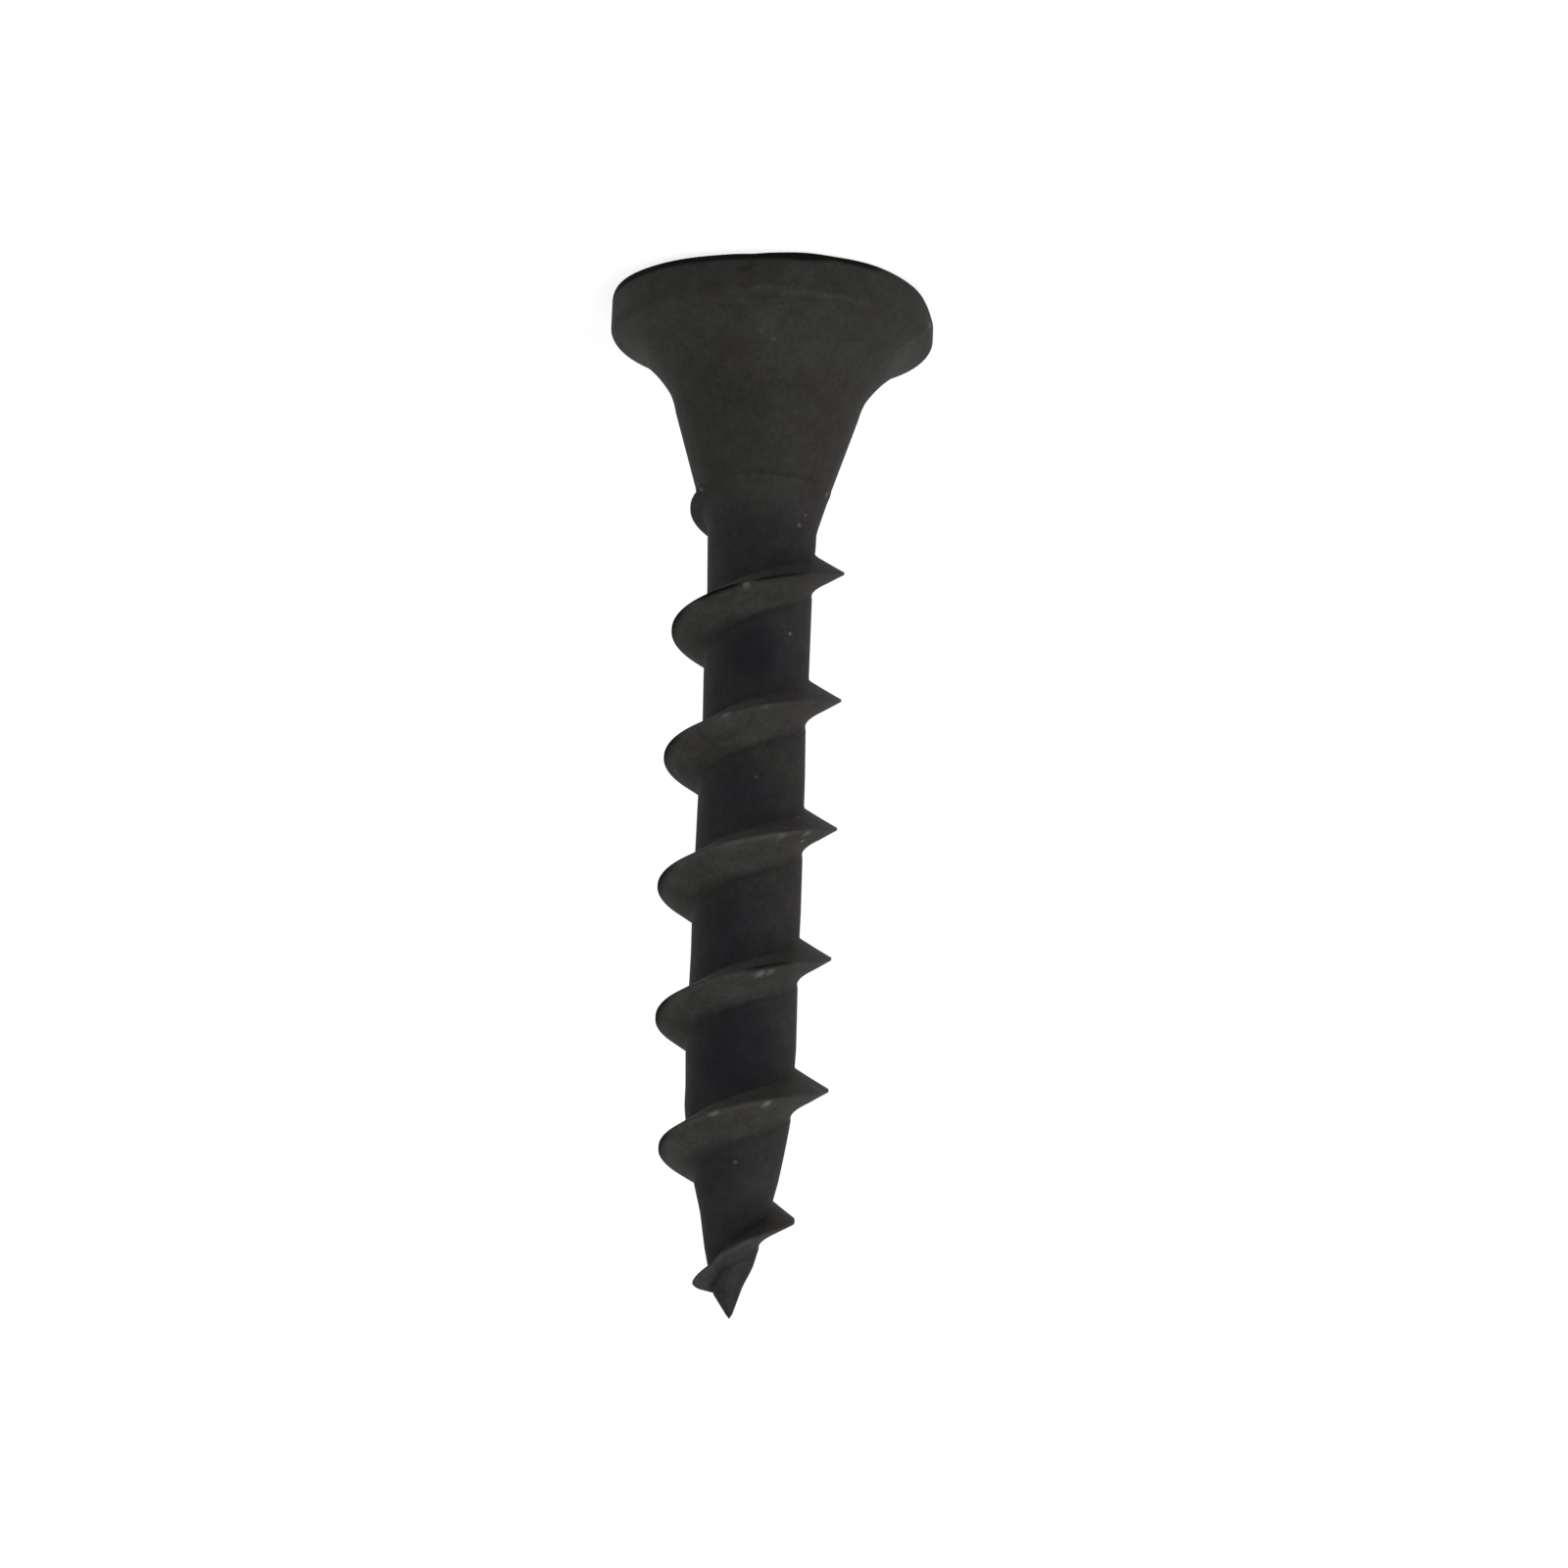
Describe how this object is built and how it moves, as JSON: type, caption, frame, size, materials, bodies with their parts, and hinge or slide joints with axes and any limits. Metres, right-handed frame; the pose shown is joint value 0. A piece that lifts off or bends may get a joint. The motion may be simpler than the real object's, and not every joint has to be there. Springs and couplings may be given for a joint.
{
  "type": "mdf screw",
  "caption": "Short wood screw with a flared flat head, cross recess, coarse sharp right-hand thread and needle point, in dull black phosphate.",
  "frame": {"origin": "middle of the flat top face of the head, on which the screw stands", "axes": "+Z along the screw's axis, from the head to the point; +X and +Y along the wings of the cross recess"},
  "size_m": [0.0078, 0.0078, 0.025],
  "materials": {
    "black_phosphate_steel": "matte black phosphate, slightly mottled, worn bright in specks on the crests"
  },
  "bodies": {
    "root": {"screw": "black_phosphate_steel"}
  },
  "joints": []
}
